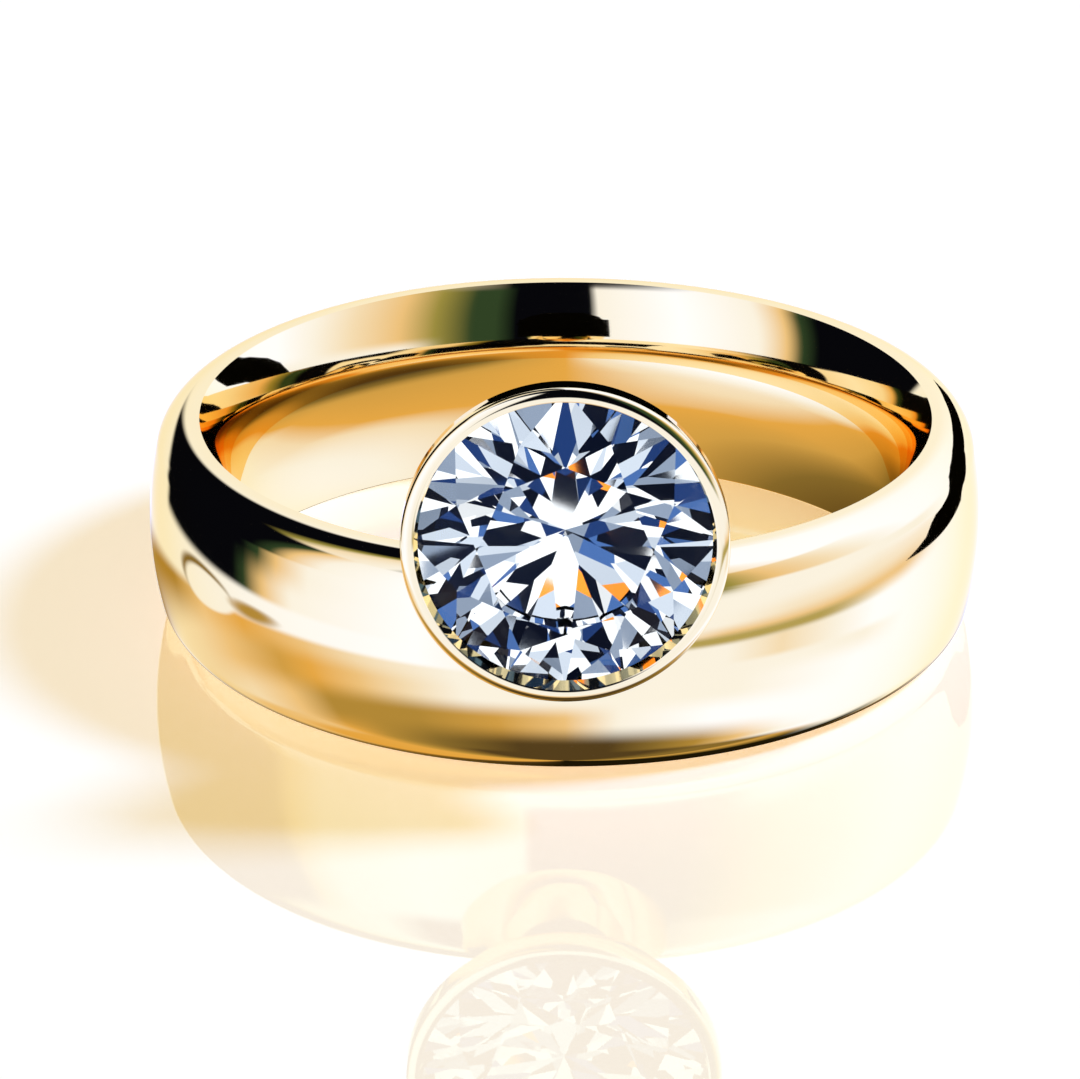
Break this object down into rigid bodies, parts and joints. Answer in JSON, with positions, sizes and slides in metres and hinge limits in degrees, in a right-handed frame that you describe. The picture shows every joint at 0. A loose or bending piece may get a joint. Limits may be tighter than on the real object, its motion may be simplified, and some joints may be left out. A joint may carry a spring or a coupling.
{
  "type": "bezel set ring",
  "caption": "Polished yellow gold comfort fit band with a round brilliant stone in a raised closed bezel cup.",
  "frame": {"origin": "centre of the finger hole at the band's mid width", "axes": "+Z along the finger, towards the rim over which the head rises; -Y towards the stone"},
  "size_m": [0.0204, 0.0228, 0.0104],
  "materials": {
    "gold": "polished",
    "brilliant": "gloss"
  },
  "bodies": {
    "root": {"band_with_bezel": "gold", "stone": "brilliant"}
  },
  "joints": []
}
